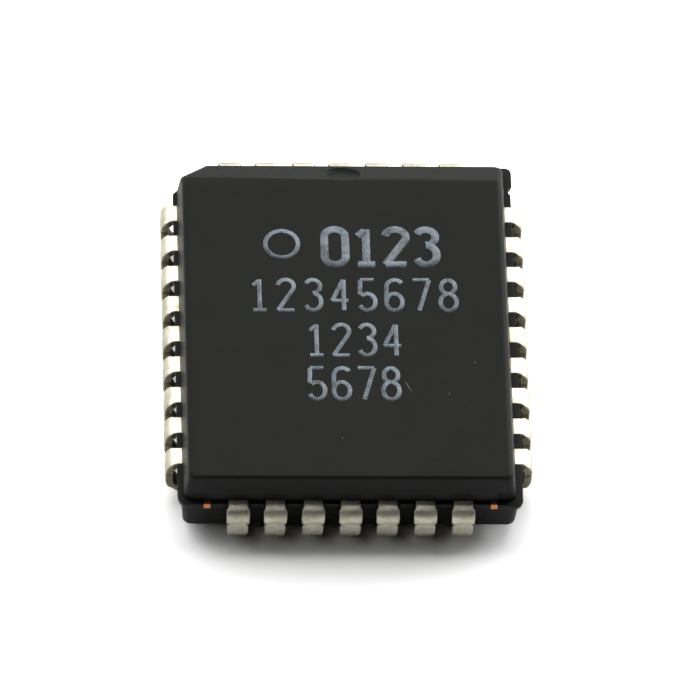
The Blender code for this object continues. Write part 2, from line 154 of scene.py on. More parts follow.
def block(bm, xLow, xHigh, yLow, yHigh, zLow, zHigh, place=None, soften=0.0):
    flat = ((xLow, yLow), (xHigh, yLow), (xHigh, yHigh), (xLow, yHigh))
    rows = skin(bm, [[Vector((x, y, z)) for x, y in flat] for z in (zLow, zHigh)])
    verts = [vert for row in rows for vert in row]
    if place:
        bmesh.ops.transform(bm, matrix=place, verts=verts)
    if soften:
        edges = {edge for vert in verts for edge in vert.link_edges}
        bmesh.ops.bevel(bm, geom=list(edges), offset=soften, segments=2, profile=0.5, affect="EDGES")


cameraSizes = {
    "turn": -4.9051,  # degrees to the left of straight on
    "height": 54.4565,  # degrees above level
    "roll": 4.1964,
    "distance": 395.0008 * mm,
    "target": (0.2529 * mm, 0.7073 * mm, 0.0),
    "lens": 591.606,
}


def addCamera(sizes):
    turn, height, roll = (math.radians(sizes[key]) for key in ("turn", "height", "roll"))
    back = Vector((math.sin(turn) * math.cos(height), -math.cos(turn) * math.cos(height), math.sin(height)))
    right = Vector((math.cos(turn), math.sin(turn), 0))
    up = back.cross(right)
    leanRight = right * math.cos(roll) + up * math.sin(roll)
    leanUp = up * math.cos(roll) - right * math.sin(roll)
    camera = bpy.data.objects.new("camera", bpy.data.cameras.new("camera"))
    camera.data.lens = sizes["lens"]
    camera.data.clip_start = 0.005
    facing = Matrix((leanRight, leanUp, back)).transposed().to_4x4()
    camera.matrix_world = Matrix.Translation(Vector(sizes["target"]) + back * sizes["distance"]) @ facing
    bpy.context.scene.collection.objects.link(camera)
    bpy.context.scene.camera = camera


addCamera(cameraSizes)
print("camera placed")


pitch = 1.27 * mm
shortRow = 7
longRow = 9
past = 1.0 * mm  # how far a cutter goes beyond what it cuts

frameSizes = {  # what the body and the leads share
    "thickness": 0.254 * mm,
    "reach": 0.508 * mm,
    "footRadius": 1.0 * mm,
    "footFlat": 0.16 * mm,
    "footSweep": 60,
    "footWidth": 0.5 * mm,
}

bodySizes = {
    "halfX": 5.715 * mm,
    "halfY": 6.985 * mm,
    "standoff": 0.38 * mm,
    "parting": 1.93 * mm,
    "top": 3.23 * mm,
    "sideDraft": 7.5,
    "endDraft": 2,
    "lowerDraft": 4,
    "upperInset": 0.06 * mm,
    "upperShift": -0.03 * mm,  # the two halves of the mould don't quite line up
    "lowerInsetSide": -0.015 * mm,
    "lowerInsetEnd": 0.02 * mm,
    "topEdgeSide": 0.24 * mm,
    "topEdgeEnd": 0.13 * mm,
    "topEdgeSteps": 5,
    "creaseBlend": 0.2 * mm,
    "bottomEdge": 0.13 * mm,
    "cornerRadius": 0.26 * mm,
    "cornerSteps": 8,
    "keyChamfer": 0.95 * mm,
    "lowerChamfer": 1.16 * mm,
    "keyBlend": 0.16 * mm,
    "keySteps": 4,
    "pointSpacing": 0.16 * mm,
    "runFromNear": 0.72 * mm,  # straight runs stop short of the corners, so all rings have as many points
    "runFromFar": 0.66 * mm,
    "runFromSide": 0.82 * mm,
    "runFromKey": 1.65 * mm,
    "flashSide": 0.135 * mm,
    "flashEnd": 0.09 * mm,
    "flashUnder": 0.8,  # share of the reach that is left at the flash's lower edge
    "flashBulge": 0.05 * mm,
    "bulgeFromFar": 0.85 * mm,
    "bulgeFromSide": 0.9 * mm,
    "bulgeFromNear": 0.7 * mm,
    "bulgeBlend": 0.5 * mm,
    "flashThickness": frameSizes["thickness"],
    "flashEdge": 0.025 * mm,
    "flashRagged": 0.014 * mm,
    "raggedWave": 0.45 * mm,
    "raggedFine": 0.13 * mm,
    "notchRadius": 0.22 * mm,
    "notchOut": 0.12 * mm,  # from the edge of the flash
    "notchPast": 1.01 * mm,  # from the middle of the last lead
    "notchUp": 0.13 * mm,
    "notchDown": 0.4 * mm,
    "slopeReach": 1.44 * mm,
    "slopeAngle": 35,
    "dimpleRadius": 0.64 * mm,
    "dimpleDepth": 0.12 * mm,
    "dimpleRim": 0.05 * mm,
    "dimpleFromTop": 0.1 * mm,
    "leadSlot": 0.684 * mm,
    "tieBarX": 4.86 * mm,
    "tieBarHalf": 0.11 * mm,
    "tieBarSlot": 0.244 * mm,
    "slotDepth": 0.3 * mm,
    "gap": 0.012 * mm,
    "reliefRise": 0.04 * mm,
    "reliefWidth": 0.68 * mm,
    "reliefHeight": 0.42 * mm,
    "reliefDepth": 0.03 * mm,
    "ejectorRadius": 0.8 * mm,
    "ejectorDepth": 0.06 * mm,
    "ejectorRound": 0.03 * mm,
    "ejectorSpacing": 5.2 * mm,
    "recessRoom": 0.12 * mm,
    "recessSoften": 0.05 * mm,
}


def arcPoints(x, y, radius, start, end, steps):
    angles = [math.radians(start + (end - start) * i / steps) for i in range(steps + 1)]
    return [(x + radius * math.cos(a), y + radius * math.sin(a)) for a in angles]


def straightRun(low, high, spacing, extra=()):
    count = math.ceil((high - low) / spacing)
    values = [low + (high - low) * i / count for i in range(count + 1)]
    clear = [v for v in values if all(abs(v - e) > 0.4 * spacing for e in extra)]
    return sorted(clear + list(extra))


def bodyOutline(size, insetX, insetY):  # from the near right corner, leftwards round as seen from above
    x = size["halfX"] - insetX
    y = size["halfY"] - insetY
    outer = min(0, insetX)
    leftRound, rightRound = size["cornerRadius"] - 0.6 * outer, size["cornerRadius"] + 0.3 * outer
    blend, chamfer = size["keyBlend"], size["keyChamfer"]
    tangent = blend * math.tan(math.radians(22.5))
    crease = size["halfY"] - size["slopeReach"]
    soft = size["creaseBlend"]
    step = size["pointSpacing"]
    sideLow = -size["halfY"] + size["runFromNear"]
    sideHigh = size["halfY"] - size["runFromFar"]
    endReach = size["halfX"] - size["runFromSide"]
    leftStart = -size["halfX"] + size["runFromKey"]
    outline = arcPoints(x - rightRound, rightRound - y, rightRound, -90, 0, size["cornerSteps"])
    outline += [(x, v) for v in straightRun(sideLow, sideHigh, step, (crease - soft, crease, crease + soft))]
    outline += arcPoints(x - rightRound, y - rightRound, rightRound, 0, 90, size["cornerSteps"])
    outline += [(v, y) for v in reversed(straightRun(leftStart, endReach, step))]
    outline += arcPoints(chamfer + tangent - x, y - blend, blend, 90, 135, size["keySteps"])
    outline += arcPoints(blend - x, y - chamfer - tangent, blend, 135, 180, size["keySteps"])
    outline += [(-x, v) for v in reversed(straightRun(sideLow, crease - soft, step))]
    outline += arcPoints(leftRound - x, leftRound - y, leftRound, 180, 270, size["cornerSteps"])
    outline += [(v, -y) for v in straightRun(-endReach, endReach, step)]
    return outline


def levelRing(size, z, insetX, insetY):
    return [Vector((x, y, z)) for x, y in bodyOutline(size, insetX, insetY)]


def raggedRing(size, z, seed, share, inset):  # the outer edge of the flash, where it broke from the dam bar
    ring = levelRing(size, z, inset - size["flashSide"] * share, inset - size["flashEnd"] * share)
    for point in ring:
        wave = noise.noise(Vector((point.x, point.y, seed * mm)) / size["raggedWave"])
        fine = noise.noise(Vector((point.x, point.y, seed * mm)) / size["raggedFine"])
        out = point.to_2d().normalized().to_3d()
        point += out * size["flashRagged"] * (0.7 * wave + 0.5 * fine - 0.3)
        if point.x > 0 and point.y > size["halfY"] - size["bulgeFromFar"]:
            point.x += size["flashBulge"] * share
        inSide = point.x - size["halfX"] + size["bulgeFromSide"]
        if inSide > 0 and point.y < size["bulgeFromNear"] - size["halfY"]:
            point.y -= size["flashBulge"] * share * min(1, inSide / size["bulgeBlend"])
        if point.x < 0:
            point.x += size["flashSide"] * 0.3 * share * (point.y / size["halfY"] + 0.6) / 1.6
    return ring


def topFall(size, y):  # how far the top face lies below its level part, with a soft crease
    slope = math.tan(math.radians(size["slopeAngle"]))
    soft = size["creaseBlend"]
    along = y - (size["halfY"] - size["slopeReach"])
    if along <= -soft:
        return 0.0
    if along < soft:
        return slope * (along + soft) ** 2 / (4 * soft)
    return slope * along


def topRings(size):  # the wall's top and the rounding above it, falling with the sloped end
    base = [Vector(point) for point in bodyOutline(size, 0, 0)]
    small = 0.1 * mm
    inset = bodyOutline(size, small, small)
    inward = [(Vector(point) - start) / small for point, start in zip(inset, base)]
    count = len(base)
    full = size["top"] - size["parting"]
    side, end = math.radians(size["sideDraft"]), math.radians(size["endDraft"])
    rings = [[] for _ in range(size["topEdgeSteps"] + 1)]
    for i, start in enumerate(base):
        along = base[(i + 1) % count] - base[i - 1]
        sideShare = along.y ** 2 / along.length_squared
        radius = size["topEdgeEnd"] + (size["topEdgeSide"] - size["topEdgeEnd"]) * sideShare
        draft = end + (side - end) * sideShare
        for k, ring in enumerate(rings):
            turn = draft + (math.pi / 2 - draft) * k / size["topEdgeSteps"]
            place = start
            for _ in range(6):
                insets = []
                for lean, bend in ((side, size["topEdgeSide"]), (end, size["topEdgeEnd"])):
                    height = full - topFall(size, place.y) - bend * (1 - math.sin(lean))
                    offset = size["upperInset"] + height * math.tan(lean)
                    insets.append(offset + bend * (math.cos(lean) - math.cos(turn)))
                place = start + Vector((inward[i].x * insets[0], inward[i].y * insets[1]))
            rise = full - topFall(size, place.y) - radius * (1 - math.sin(turn))
            ring.append(Vector((place.x + size["upperShift"], place.y, size["parting"] + rise)))
    return rings


def bodyShell(size):  # the lower half and the flash lose more of the corner than the upper half
    lower = dict(size, keyChamfer=size["lowerChamfer"])
    low = size["parting"] - size["flashThickness"]
    rings = []
    for turn in (90, 60, 30, 0):
        turn = math.radians(turn)
        z = size["standoff"] + size["bottomEdge"] * (1 - math.sin(turn))
        lean = (low - z) * math.tan(math.radians(size["lowerDraft"]))
        inset = size["bottomEdge"] * (1 - math.cos(turn)) + lean
        rings.append(levelRing(lower, z, size["lowerInsetSide"] + inset, size["lowerInsetEnd"] + inset))
    rings.append(levelRing(lower, low, size["lowerInsetSide"], size["lowerInsetEnd"]))
    edge = size["flashEdge"]
    for turn in (90, 45, 0):
        turn = math.radians(turn)
        z = low + edge * (1 - math.sin(turn))
        rings.append(raggedRing(lower, z, 3, size["flashUnder"], edge * (1 - math.cos(turn))))
    for turn in (0, 45, 90):
        turn = math.radians(turn)
        z = size["parting"] - edge * (1 - math.sin(turn))
        rings.append(raggedRing(lower, z, 4, 1.0, edge * (1 - math.cos(turn))))
    rings.append(levelRing(size, size["parting"], size["upperInset"], size["upperInset"]))
    for point in rings[-1]:
        point.x += size["upperShift"]
    rings += topRings(size)
    bm = bmesh.new()
    top = skin(bm, rings, closeTop=False)[-1]
    base = bodyOutline(size, 0, 0)
    crease, soft = size["halfY"] - size["slopeReach"], size["creaseBlend"]

    def nearest(x, y):
        return min(range(len(base)), key=lambda i: (Vector((x, y)) - Vector(base[i])).length)

    right = [nearest(size["halfX"], crease + shift) for shift in (-soft, 0, soft)]
    left = [nearest(-size["halfX"], crease - soft)]
    left += [left[0] - 1, left[0] - 1 - size["keySteps"]]
    bm.faces.new(top[left[0]:] + top[:right[0] + 1])
    for k in range(2):
        bm.faces.new(top[right[k]:right[k + 1] + 1] + top[left[k + 1]:left[k] + 1])
    bm.faces.new(top[right[2]:left[2] + 1])
    return meshObject("mouldedBody", bm)


def spinProfile(bm, profile, place, steps):
    rings = []
    for radius, z in profile:
        angles = [2 * math.pi * i / steps for i in range(steps)]
        rings.append([place @ Vector((radius * math.cos(a), radius * math.sin(a), z)) for a in angles])
    skin(bm, rings)


def dimpleCutter(size):  # shallow sink with a rounded rim and a faintly dished floor
    slope = math.radians(size["slopeAngle"])
    down = size["dimpleFromTop"] + size["dimpleRadius"]
    y = size["halfY"] - size["slopeReach"] + down * math.cos(slope)
    z = size["top"] - down * math.sin(slope)
    place = Matrix.Translation((0, y, z)) @ Matrix.Rotation(-slope, 4, "X")
    r, depth, rim = size["dimpleRadius"], size["dimpleDepth"], size["dimpleRim"]
    profile = [
        (0.3 * r, -1.04 * depth),
        (0.6 * r, -depth),
        (r - 1.6 * rim, -0.9 * depth),
        (r - 0.9 * rim, -0.75 * depth),
        (r - 0.45 * rim, -0.5 * depth),
        (r - 0.2 * rim, -0.22 * depth),
        (r + 0.1 * rim, -0.06 * depth),
        (r + 0.5 * rim, 0.02 * depth),
        (r + rim, past),
    ]
    bm = bmesh.new()
    spinProfile(bm, profile, place, 48)
    return meshObject("dimpleCutter", bm)


def rowPlaces(size):  # where each lead stands at its wall, and how many leads its row has
    rows = ((0, longRow, "halfX"), (90, shortRow, "halfY"), (180, longRow, "halfX"), (270, shortRow, "halfY"))
    places = []
    for turn, count, wall in rows:
        spin = Matrix.Rotation(math.radians(turn), 4, "Z")
        for i in range(count):
            along = (i - (count - 1) / 2) * pitch
            places.append((spin @ Matrix.Translation((size[wall], along, 0)), count))
    return places


def slotCutter(size):  # where the leads and the tie bars come out of the plastic
    low = size["parting"] - size["flashThickness"] - size["gap"]
    high = size["parting"] + size["gap"]
    half = size["leadSlot"] / 2
    bm = bmesh.new()
    for place, count in rowPlaces(size):
        block(bm, -size["slotDepth"], past, -half, half, low, high, place)
    half = size["tieBarSlot"] / 2
    for x in (-size["tieBarX"], size["tieBarX"]):
        block(bm, x - half, x + half, -size["halfY"] - past, -size["halfY"] + size["slotDepth"], low, high)
        farWall = size["halfY"] - max(0.0, size["keyChamfer"] - (size["halfX"] + x))
        block(bm, x - half, x + half, farWall - size["slotDepth"], farWall + past, low, high)
    return meshObject("slotCutter", bm)


def recessCutter(size, rowCount):  # pockets under the body that the lead tips curl into
    radius, flat, reach = (frameSizes[key] for key in ("footRadius", "footFlat", "reach"))
    sweep = math.radians(frameSizes["footSweep"])
    ceiling = radius - (radius - frameSizes["thickness"]) * math.cos(sweep) + size["recessRoom"]
    inner = reach - radius - flat - radius * math.sin(sweep) - size["recessRoom"]
    half = frameSizes["footWidth"] / 2 + size["recessRoom"]
    low = size["standoff"] - past
    bm = bmesh.new()
    for place, count in rowPlaces(size):
        if count == rowCount:
            block(bm, inner, past, -half, half, low, ceiling, place, soften=size["recessSoften"])
    return meshObject("recessCutter%d" % rowCount, bm)


def reliefCutter(size):  # shallow steps in the near wall, outside the tie bars
    inner = size["tieBarX"] + size["tieBarHalf"]
    low = size["parting"] + size["reliefRise"]
    middle = size["reliefRise"] + size["reliefHeight"] / 2
    wall = size["halfY"] - size["upperInset"] - middle * math.tan(math.radians(size["endDraft"]))
    floor = wall - size["reliefDepth"]
    bm = bmesh.new()
    for sign in (-1, 1):
        ends = sorted((sign * inner, sign * (inner + size["reliefWidth"])))
        block(bm, *ends, -size["halfY"] - past, -floor, low, low + size["reliefHeight"], soften=0.02 * mm)
    return meshObject("reliefCutter", bm)


def ejectorCutter(size):
    r, depth, soft = size["ejectorRadius"], size["ejectorDepth"], size["ejectorRound"]
    profile = [(r * 0.5, depth), (r - soft, depth), (r, depth - soft), (r + 0.005 * mm, -past)]
    bm = bmesh.new()
    for sign in (-1, 1):
        place = Matrix.Translation((0, sign * size["ejectorSpacing"] / 2, size["standoff"]))
        spinProfile(bm, profile, place, 40)
    return meshObject("ejectorCutter", bm)


def notchCutter(size):  # where the flash broke away beside the far right corner
    x = size["halfX"] + size["flashSide"] + size["notchOut"]
    y = (longRow - 1) * pitch / 2 + size["notchPast"]
    radius = size["notchRadius"]
    bm = bmesh.new()
    profile = [(radius, -size["notchDown"]), (radius, size["notchUp"])]
    spinProfile(bm, profile, Matrix.Translation((x, y, size["parting"])), 24)
    return meshObject("notchCutter", bm)


def makeBody(size):
    body = bodyShell(size)
    cutters = (notchCutter(size), dimpleCutter(size), reliefCutter(size), ejectorCutter(size),
               recessCutter(size, shortRow), recessCutter(size, longRow), slotCutter(size))
    for cutter in cutters:
        change = body.modifiers.new(cutter.name, "BOOLEAN")
        change.operation = "DIFFERENCE"
        change.solver = "EXACT"
        change.object = cutter
    settle(body)
    for cutter in cutters:
        bpy.data.objects.remove(cutter, do_unlink=True)
    return softShade(body, 32)


mouldedBody = makeBody(bodySizes)
print("body", len(mouldedBody.data.polygons), "faces")


leadSizes = {
    **frameSizes,
    "shoulderBend": 0.2 * mm,
    "root": 0.24 * mm,
    "neckWidth": 0.68 * mm,
    "neckTurn": 14,
    "damWidth": 0.785 * mm,
    "damBlend": 0.12 * mm,
    "damDrop": 0.56 * mm,
    "notchWidth": 0.6 * mm,
    "legWidth": 0.72 * mm,
    "taperStart": 0.06,
    "taperShare": 0.35,
    "tipWidth": 0.36 * mm,
    "outerRound": 0.045 * mm,
    "innerRound": 0.02 * mm,
    "rowOut": 0.01 * mm,
    "wander": 0.01 * mm,
    "lean": 0.6,
    "seed": 7,
}


def leadPath(size, frameTop):
    t = size["thickness"]
    bend = size["shoulderBend"] + t / 2
    foot = size["footRadius"] - t / 2
    bendOut = size["reach"] - t / 2 - bend
    footOut = size["reach"] - size["footRadius"]
    middle = frameTop - t / 2
    steps = []  # out, up, turn in radians, width, run
    run = 0.0

    def add(out, up, turn, width):
        nonlocal run
        if steps:
            run += math.hypot(out - steps[-1][0], up - steps[-1][1])
        steps.append((out, up, turn, width, run))

    def onBend(turn, width):
        add(bendOut + bend * math.sin(turn), middle - bend + bend * math.cos(turn), turn, width)

    neck = math.radians(size["neckTurn"])
    widened = neck + size["damBlend"] / bend
    add(-size["root"], middle, 0, size["neckWidth"])
    add(-0.5 * size["root"], middle, 0, size["neckWidth"])
    add(0, middle, 0, size["neckWidth"])
    onBend(0, size["neckWidth"])
    onBend(neck * 0.5, size["neckWidth"])
    onBend(neck, size["neckWidth"])
    onBend(neck * 0.6 + widened * 0.4, size["neckWidth"] * 0.75 + size["damWidth"] * 0.25)
    onBend(neck * 0.25 + widened * 0.75, size["neckWidth"] * 0.15 + size["damWidth"] * 0.85)
    onBend(widened, size["damWidth"])
    for i in range(1, 7):
        onBend(widened + (math.pi / 2 - widened) * i / 6, size["damWidth"])
    legOut = bendOut + bend
    damEnd = frameTop - size["damDrop"]
    drops = (  # height from the dam's end, what the width loses there, width
        (0.12 * mm, 0.0, "damWidth"),
        (0.0, -0.012 * mm, "damWidth"),
        (-0.015 * mm, -0.06 * mm, "damWidth"),
        (-0.045 * mm, 0.0, "notchWidth"),
        (-0.1 * mm, 0.0, "notchWidth"),
        (-0.15 * mm, -0.03 * mm, "legWidth"),
        (-0.19 * mm, 0.0, "legWidth"),
        (-0.25 * mm, 0.0, "legWidth"),
    )
    for rise, trim, width in drops:
        if damEnd + rise < middle - bend:
            add(legOut, damEnd + rise, math.pi / 2, size[width] + trim)
    for i in range(0, 19):
        share = i / 18
        turn = math.pi / 2 * (1 + share)
        ease = min(1, max(0, (share - size["taperStart"]) / size["taperShare"]))
        width = size["legWidth"] + (size["footWidth"] - size["legWidth"]) * (1 - math.sqrt(1 - ease ** 2))
        add(footOut + foot * math.sin(turn), size["footRadius"] + foot * math.cos(turn), turn, width)
    for i in range(0, 9):
        turn = math.pi + math.radians(size["footSweep"]) * i / 8
        tipShare = max(0, i - 6) / 2
        width = size["footWidth"] * (1 - tipShare) + size["tipWidth"] * tipShare
        out = footOut - size["footFlat"] + foot * math.sin(turn)
        add(out, size["footRadius"] + foot * math.cos(turn), turn, width)
    return steps


def stripSection(width, thickness, outer, inner):  # points across and through, with the outer edges rounder
    w, t = width / 2, thickness / 2
    section = arcPoints(w - outer, t - outer, outer, 0, 90, 3)
    section += arcPoints(outer - w, t - outer, outer, 90, 180, 3)
    section += arcPoints(inner - w, inner - t, inner, 180, 270, 2)
    section += arcPoints(w - inner, inner - t, inner, 270, 360, 2)
    return section


def leadTemplate(size):
    bm = bmesh.new()
    run = bm.verts.layers.float.new("leadRun")
    across = bm.verts.layers.float.new("leadAcross")
    through = bm.verts.layers.float.new("leadThrough")
    rings, facts = [], []
    for out, up, turn, width, along in leadPath(size, bodySizes["parting"]):
        normal = Vector((math.sin(turn), 0, math.cos(turn)))
        section = stripSection(width, size["thickness"], size["outerRound"], size["innerRound"])
        rings.append([Vector((out, a, up)) + normal * b for a, b in section])
        facts.append([(along / mm, 2 * a / width, 2 * b / size["thickness"]) for a, b in section])
    for row, values in zip(skin(bm, rings), facts):
        for vert, (r, a, b) in zip(row, values):
            vert[run], vert[across], vert[through] = r, a, b
    template = meshObject("leadTemplate", bm)
    template.data.shade_smooth()
    template.data.set_sharp_from_angle(angle=math.radians(40))
    return template


def newTree(name, inputs):
    tree = bpy.data.node_groups.new(name, "GeometryNodeTree")
    tree.interface.new_socket(name="Geometry", in_out="INPUT", socket_type="NodeSocketGeometry")
    sockets = {}
    for label, kind, value in inputs:
        socket = tree.interface.new_socket(name=label, in_out="INPUT", socket_type="NodeSocket" + kind)
        if value is not None and kind not in ("Object", "Material"):
            socket.default_value = value
        sockets[label] = socket.identifier
    tree.interface.new_socket(name="Geometry", in_out="OUTPUT", socket_type="NodeSocketGeometry")
    return tree, tree.nodes.new("NodeGroupInput"), tree.nodes.new("NodeGroupOutput"), sockets


def runTree(piece, tree, sockets, values):
    change = piece.modifiers.new(tree.name, "NODES")
    change.node_group = tree
    for label, value in values.items():
        change[sockets[label]] = value
    return settle(piece)


def combineXyz(tree, x=None, y=None, z=None):
    node = addNode(tree, "ShaderNodeCombineXYZ")
    for socket, value in zip(node.inputs, (x, y, z)):
        feed(tree, socket, value)
    return node.outputs[0]


def leadRowTree():
    inputs = (
        ("Lead", "Object", None),
        ("Material", "Material", None),
        ("Pitch", "Float", pitch),
        ("Short Row", "Int", shortRow),
        ("Long Row", "Int", longRow),
        ("Half Width", "Float", 0.0),
        ("Half Length", "Float", 0.0),
        ("Wander", "Float", 0.0),
        ("Lean", "Float", 0.0),
        ("Seed", "Int", 0),
    )
    tree, given, result, sockets = newTree("leadRows", inputs)
    link = tree.links.new
    lead = addNode(tree, "GeometryNodeObjectInfo")
    link(given.outputs["Lead"], lead.inputs["Object"])
    join = addNode(tree, "GeometryNodeJoinGeometry")
    for count, wall, turns in (("Long Row", "Half Width", (0, 180)), ("Short Row", "Half Length", (90, 270))):
        row = addNode(tree, "GeometryNodeMeshLine", mode="OFFSET")
        link(given.outputs[count], row.inputs["Count"])
        back = maths(tree, "MULTIPLY", maths(tree, "SUBTRACT", given.outputs[count], 1), -0.5)
        start = maths(tree, "MULTIPLY", back, given.outputs["Pitch"])
        link(combineXyz(tree, given.outputs[wall], start), row.inputs["Start Location"])
        link(combineXyz(tree, None, given.outputs["Pitch"]), row.inputs["Offset"])
        place = addNode(tree, "GeometryNodeInstanceOnPoints")
        link(row.outputs["Mesh"], place.inputs["Points"])
        link(lead.outputs["Geometry"], place.inputs["Instance"])
        for turn in turns:
            side = addNode(tree, "GeometryNodeTransform")
            link(place.outputs["Instances"], side.inputs["Geometry"])
            side.inputs["Rotation"].default_value = (0, 0, math.radians(turn))
            link(side.outputs["Geometry"], join.inputs["Geometry"])

    def chance(kind, low, high, shift):
        node = addNode(tree, "FunctionNodeRandomValue", data_type=kind)
        names = [s for s in node.inputs if s.enabled]
        feed(tree, names[0], low)
        feed(tree, names[1], high)
        feed(tree, node.inputs["Seed"], maths(tree, "ADD", given.outputs["Seed"], shift))
        return [s for s in node.outputs if s.enabled][0]

    slide = addNode(tree, "GeometryNodeTranslateInstances")
    link(join.outputs["Geometry"], slide.inputs["Instances"])
    wander = given.outputs["Wander"]
    back = maths(tree, "MULTIPLY", wander, -1)
    shift = chance("FLOAT_VECTOR", combineXyz(tree, back, back), combineXyz(tree, wander, wander), 1)
    link(shift, slide.inputs["Translation"])
    tilt = addNode(tree, "GeometryNodeRotateInstances")
    link(slide.outputs["Instances"], tilt.inputs["Instances"])
    lean = given.outputs["Lean"]
    back = maths(tree, "MULTIPLY", lean, -1)
    turn = chance("FLOAT_VECTOR", combineXyz(tree, z=back), combineXyz(tree, z=lean), 2)
    link(turn, tilt.inputs["Rotation"])
    tone = addNode(tree, "GeometryNodeStoreNamedAttribute", data_type="FLOAT", domain="INSTANCE")
    tone.inputs["Name"].default_value = "leadTone"
    link(tilt.outputs["Instances"], tone.inputs["Geometry"])
    link(chance("FLOAT", 0.0, 1.0, 3), [s for s in tone.inputs if s.name == "Value" and s.enabled][0])
    real = addNode(tree, "GeometryNodeRealizeInstances")
    link(tone.outputs["Geometry"], real.inputs["Geometry"])
    paint = addNode(tree, "GeometryNodeSetMaterial")
    link(real.outputs["Geometry"], paint.inputs["Geometry"])
    link(given.outputs["Material"], paint.inputs["Material"])
    link(paint.outputs["Geometry"], result.inputs["Geometry"])
    return tree, sockets


tinTones = {
    "clean": (0.8, 0.77, 0.64),
    "dull": (0.7, 0.67, 0.54),
    "lined": (0.6, 0.56, 0.44),
    "cutEdge": (0.24, 0.21, 0.13),
    "neckPaintedLight": 1.25,  # painted light and shade: the neck is painted brighter and the bend and foot darker, after the tones of light and shade in the photograph from neck to foot
    "bendPaintedShade": 0.86,
    "footPaintedShade": 0.84,
}


def platedTin(tones):
    made, tree, shader = newMaterial("platedTin")
    where = addNode(tree, "ShaderNodeTexCoord").outputs["Object"]
    run = readAttribute(tree, "leadRun")
    across = readAttribute(tree, "leadAcross")
    through = readAttribute(tree, "leadThrough")
    tone = readAttribute(tree, "leadTone")
    local = combineXyz(tree, maths(tree, "MULTIPLY", run, 9.0), across, maths(tree, "MULTIPLY", tone, 40.0))
    drawn = grainNoise(tree, local, 1.0, 4.0, 0.6)  # forming lines, square to the way the lead runs
    stain = grainNoise(tree, where, 0.35 * mm, 3.0, 0.6)
    fine = grainNoise(tree, where, 0.03 * mm, 2.0, 0.5)
    clean = blendColours(tree, spread(tree, stain, 0.35, 0.7), tones["clean"], tones["dull"])
    lined = blendColours(tree, spread(tree, drawn, 0.52, 0.68), clean, tones["lined"])
    # painted light and shade along the lead: brighter at the neck, darker from the bend on, and darker still
    # at the foot
    neckPaintedLight = spread(tree, run, 0.3, 0.6, tones["neckPaintedLight"], tones["bendPaintedShade"])
    footPaintedShade = spread(tree, run, 0.9, 1.1, 1.0, tones["footPaintedShade"])
    paintedLightTin = vectorMaths(tree, "MULTIPLY", lined, maths(tree, "MULTIPLY", neckPaintedLight, footPaintedShade))
    edge = spread(tree, maths(tree, "ABSOLUTE", across), 0.93, 1.0)
    cut = maths(tree, "MULTIPLY", edge, spread(tree, maths(tree, "ABSOLUTE", through), 0.9, 0.6))
    coloured = blendColours(tree, maths(tree, "MULTIPLY", cut, 0.75), paintedLightTin, tones["cutEdge"])
    feed(tree, shader.inputs["Base Color"], coloured)
    shader.inputs["Metallic"].default_value = 1.0
    rough = spread(tree, stain, 0.3, 0.75, 0.5, 0.64)
    feed(tree, shader.inputs["Roughness"], maths(tree, "ADD", rough, maths(tree, "MULTIPLY", cut, 0.15)))
    height = maths(tree, "ADD", drawn, maths(tree, "MULTIPLY", fine, 0.5))
    addBump(tree, shader, height, 0.005 * mm, 0.6)
    return made


def makeLeads(size):
    template = leadTemplate(size)
    tree, sockets = leadRowTree()
    leads = meshObject("leads", bmesh.new())
    values = {
        "Lead": template,
        "Material": platedTin(tinTones),
        "Half Width": bodySizes["halfX"] + size["rowOut"],
        "Half Length": bodySizes["halfY"],
        "Wander": size["wander"],
        "Lean": math.radians(size["lean"]),
        "Seed": size["seed"],
    }
    runTree(leads, tree, sockets, values)
    bpy.data.objects.remove(template, do_unlink=True)
    return leads


leads = makeLeads(leadSizes)
print("leads", len(leads.data.polygons), "faces")


markSizes = {
    "rows": (  # text, middle x, middle y, half width, half height, stroke, step
        ("0123", 1.21 * mm, 2.74 * mm, 0.36 * mm, 0.74 * mm, 0.27 * mm, 1.04 * mm),
        ("12345678", 0.24 * mm, 0.71 * mm, 0.275 * mm, 0.64 * mm, 0.15 * mm, 0.925 * mm),
        ("1234", 0.21 * mm, -1.17 * mm, 0.275 * mm, 0.64 * mm, 0.15 * mm, 0.87 * mm),
        ("5678", 0.16 * mm, -2.99 * mm, 0.275 * mm, 0.65 * mm, 0.15 * mm, 0.84 * mm),
    ),
    "ring": (-2.17 * mm, 2.85 * mm, 0.56 * mm),
    "stroke": 0.15 * mm,
    "inkDepth": 0.006 * mm,
    "cornerRound": 0.05 * mm,
}


def digitStrokes(digit):  # centre lines in a cell two wide, from -2.3 to 2.3 high
    h = 2.3
    low = -h + 1.27

    def oval(x, y, rx, ry, start, end, steps=14):
        angles = [math.radians(start + (end - start) * i / steps) for i in range(steps + 1)]
        return [(x + rx * math.cos(a), y + ry * math.sin(a)) for a in angles]

    shapes = {
        "0": [oval(0, h - 1, 1, 1, 180, 0) + oval(0, 1 - h, 1, 1, 0, -180) + [(-1, h - 1)]],
        "1": [[(0.08, h), (0.08, -h)], [(-0.7, h - 0.9), (0.0, h - 0.2)], [(-0.75, -h), (0.9, -h)]],
        "2": [oval(0, h - 1, 1, 1, 170, -30) + [(-1, -h)], [(-1, -h), (1, -h)]],
        "3": [oval(0, h - 1, 0.92, 1, 155, -90), oval(0, low, 1, 1.27, 90, -155)],
        "4": [[(0.4, h), (-1, -0.85)], [(-1, -0.85), (1.05, -0.85)], [(0.45, h), (0.45, -h)]],
        "5": [[(0.85, h), (-0.82, h)], [(-0.82, h), (-0.9, 0.1)], oval(0, low, 1, 1.27, 135, -155)],
        "6": [oval(0.1, h - 1.1, 1.05, 1.1, 35, 180) + [(-0.98, low)], oval(0, low, 1, 1.27, 180, -180, 24)],
        "7": [[(-1, h), (1, h)], [(1, h), (-0.3, -h)]],
        "8": [oval(0, h - 1.03, 0.88, 1.03, 90, 450, 24), oval(0, low, 1, 1.27, 90, 450, 24)],
    }
    return shapes[digit]


